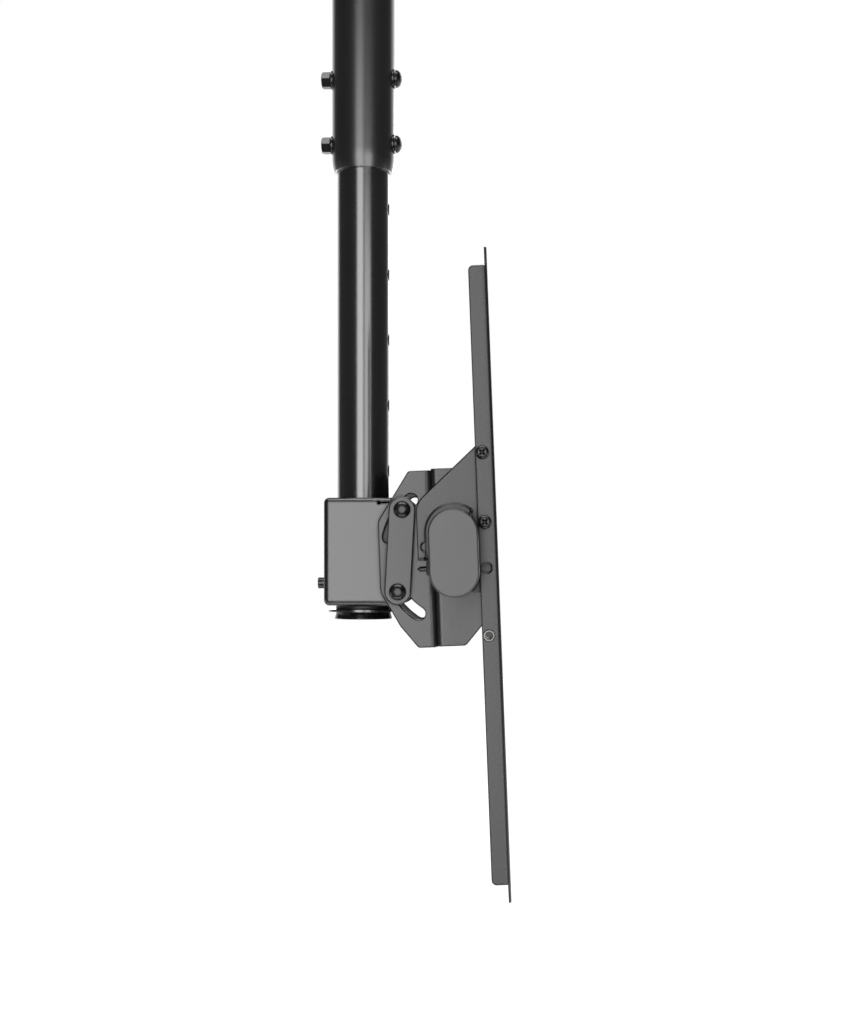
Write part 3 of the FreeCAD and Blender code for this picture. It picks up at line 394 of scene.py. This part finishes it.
def paleFloor():
    half = floorPlan["size"] / 2
    z = cadBox[0][2] - floorPlan["drop"]
    corners = [(-half, -half, z), (half, -half, z), (half, half, z), (-half, half, z)]
    mesh = bpy.data.meshes.new("floor")
    mesh.from_pydata(corners, [], [(0, 1, 2, 3)])
    floor = bpy.data.objects.new("floor", mesh)
    bpy.context.scene.collection.objects.link(floor)
    material = bpy.data.materials.new("paleFloor")
    tree = emptyTree(material)
    place = addNode(tree, "ShaderNodeTexCoord").outputs["Object"]
    level = addNode(tree, "ShaderNodeVectorMath", {"operation": "MULTIPLY"},
                    {0: place, 1: (1.0, 1.0, 0.0)})
    away = addNode(tree, "ShaderNodeVectorMath", {"operation": "LENGTH"}, {0: level.outputs["Vector"]})
    glowing = addNode(tree, "ShaderNodeMapRange", {"clamp": True, "interpolation_type": "SMOOTHSTEP"},
                      {"Value": away.outputs["Value"],
                       "From Min": floorPlan["near"], "From Max": floorPlan["far"],
                       "To Min": floorPlan["glowNear"], "To Max": floorPlan["glowFar"]})
    amount = addNode(tree, "ShaderNodeMath", {"operation": "MULTIPLY"},
                     {0: seenRay(tree), 1: glowing.outputs["Result"]})
    paint = addNode(tree, "ShaderNodeBsdfDiffuse", {}, {"Color": linear(floorPlan["colour"])})
    glow = addNode(tree, "ShaderNodeEmission", {}, {"Strength": amount.outputs["Value"]})
    paper = addNode(tree, "ShaderNodeAddShader", {}, {0: paint.outputs["BSDF"], 1: glow.outputs["Emission"]})
    across = addNode(tree, "ShaderNodeSeparateXYZ", {}, {"Vector": place})
    lampSide = addNode(tree, "ShaderNodeMapRange", {"clamp": True},
                       {"Value": across.outputs["Y"],
                        "From Min": floorPlan["paperFull"], "From Max": floorPlan["paperStart"]})
    path = addNode(tree, "ShaderNodeLightPath")
    mirrored = addNode(tree, "ShaderNodeMath", {"operation": "MULTIPLY"},
                       {0: path.outputs["Is Glossy Ray"], 1: lampSide.outputs["Result"]})
    dim = addNode(tree, "ShaderNodeEmission", {}, {"Strength": backdrop["dimStudio"]})
    shown = addNode(tree, "ShaderNodeMixShader", {},
                    {0: mirrored.outputs["Value"], 1: paper.outputs["Shader"], 2: dim.outputs["Emission"]})
    addNode(tree, "ShaderNodeOutputMaterial", {}, {"Surface": shown.outputs["Shader"]})
    mesh.materials.append(material)


# Soft boxes in metres: radiance is what a face sees of the box, so 1 is as bright as white paper. Black
# gloss shows little but its lamps, so each hangs where the photo's light lines and sheens ask for it.
softBoxes = {
    # the sheen of the faces towards the camera, and the left half of the light line down the poles
    "key": {"place": (-0.49, -2.65, -0.64), "towards": (-0.49, 0.0, -0.64), "size": (1.3, 2.14),
            "radiance": 4.6},
    # the right half of that line
    "fill": {"place": (1.18, -2.65, -0.90), "towards": (1.18, 0.0, -0.90), "size": (1.5, 2.1),
             "radiance": 3.6},
    # light lines along the folds and rounds that turn down
    "low": {"place": (0.1, -0.48, -2.15), "towards": (0.1, -0.48, 0.0), "size": (2.2, 0.34),
            "radiance": 6.0},
    # large and faint, for views of the screen's side and the rear; the photo's view mirrors neither
    "front": {"place": (2.4, 0.0, -1.65), "towards": (0.0, 0.0, -0.75), "size": (3.0, 1.0),
              "radiance": 0.9},
    "rear": {"place": (-2.4, 0.0, -1.65), "towards": (0.0, 0.0, -0.75), "size": (3.0, 1.0),
             "radiance": 0.9},
    # light from behind on the far faces
    "back": {"place": (0.3, 3.0, -0.3), "towards": (0.0, 0.0, -0.65), "size": (2.0, 1.6),
             "radiance": 2.0},
    # light lines along the folds and rounds that turn up, and the crowns of the bolts
    "top": {"place": (0.1, -0.45, 1.3), "towards": (0.1, -0.45, 0.0), "size": (2.2, 0.8),
            "radiance": 6.5},
}


def hangLights():
    for name, box in softBoxes.items():
        light = bpy.data.lights.new(name + "SoftBox", "AREA")
        light.shape = "RECTANGLE"
        light.size, light.size_y = box["size"]
        # the watts that give the box its radiance
        light.energy = box["radiance"] * math.pi * light.size * light.size_y
        lamp = bpy.data.objects.new(name + "SoftBox", light)
        lamp.location = box["place"]
        aim = Vector(box["towards"]) - Vector(box["place"])
        lamp.rotation_euler = aim.to_track_quat("-Z", "Y").to_euler()
        bpy.context.scene.collection.objects.link(lamp)


# The photograph's view: level, from the left end of the crossbar, a little towards the screen's side.
# "centrePx" is the pixel that the lens looks straight at, in a picture of "framePx".
lens = {
    "place": (0.094, -1.227, -0.7648), "focal": 56.25, "sensor": 36.0,
    "centrePx": (486.0, 568.0), "framePx": (847.0, 1024.0),
}


def setCamera():
    data = bpy.data.cameras.new("photoCamera")
    data.sensor_width = lens["sensor"]
    data.lens = lens["focal"]
    width, height = lens["framePx"]
    centreX, centreY = lens["centrePx"]
    data.shift_x = (width / 2 - centreX) / max(width, height)
    data.shift_y = (centreY - height / 2) / max(width, height)
    camera = bpy.data.objects.new("photoCamera", data)
    camera.location = lens["place"]
    camera.rotation_euler = (math.pi / 2, 0.0, 0.0)
    bpy.context.scene.collection.objects.link(camera)
    bpy.context.scene.camera = camera


paleFloor()
whiteBackdrop()
hangLights()
setCamera()
bpy.context.scene.view_settings.view_transform = "Standard"
print("studio set")

bpy.context.view_layer.update()
